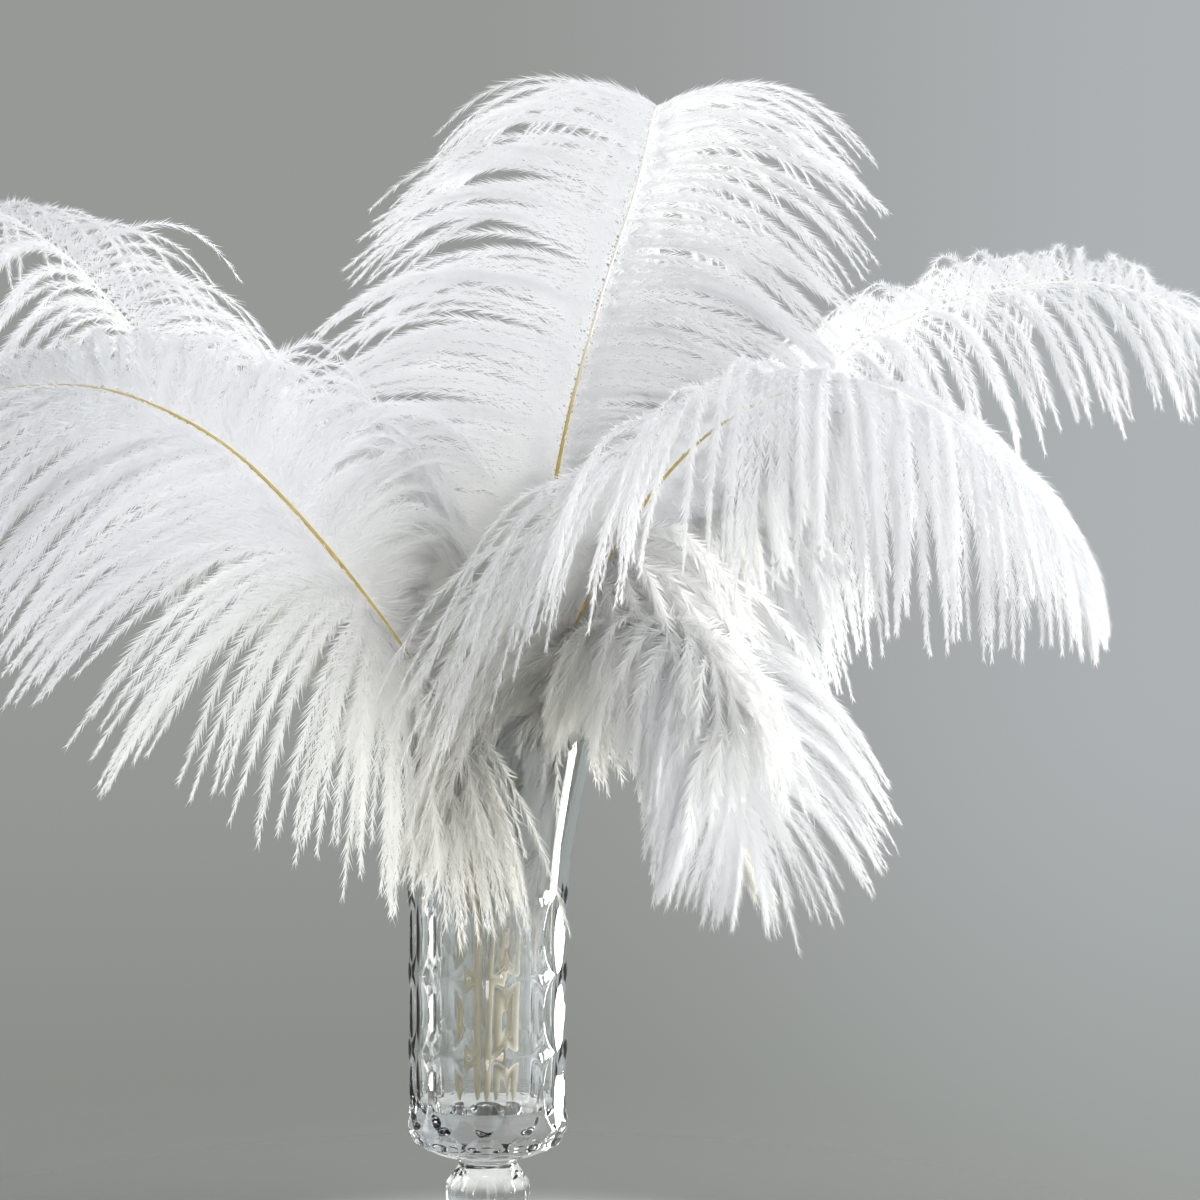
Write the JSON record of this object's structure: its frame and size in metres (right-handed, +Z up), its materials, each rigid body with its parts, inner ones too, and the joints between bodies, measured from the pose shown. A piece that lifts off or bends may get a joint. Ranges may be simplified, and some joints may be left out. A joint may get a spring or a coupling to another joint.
{
  "type": "ostrich feathers in a footed crystal vase",
  "caption": "Spray of white ostrich wing plumes, arching outwards from a tall footed vase of cut clear crystal with a flared mouth.",
  "frame": {"origin": "centre of the vase's foot, on the flat underside that it stands on", "axes": "+Z up the vase's axis, -Y towards the front of the arrangement, +X to its right"},
  "size_m": [0.6829, 0.3877, 0.525],
  "materials": {
    "cut_crystal": "clear, polished, with cut flutes",
    "plume_white": "soft bleached white barbs on a pale golden shaft"
  },
  "bodies": {
    "root": {"crystal_vase": "cut_crystal", "centre_plume": "plume_white", "front_right_plume": "plume_white", "front_left_plume": "plume_white", "back_left_plume": "plume_white", "back_right_plume": "plume_white", "front_low_plume": "plume_white"}
  },
  "joints": []
}
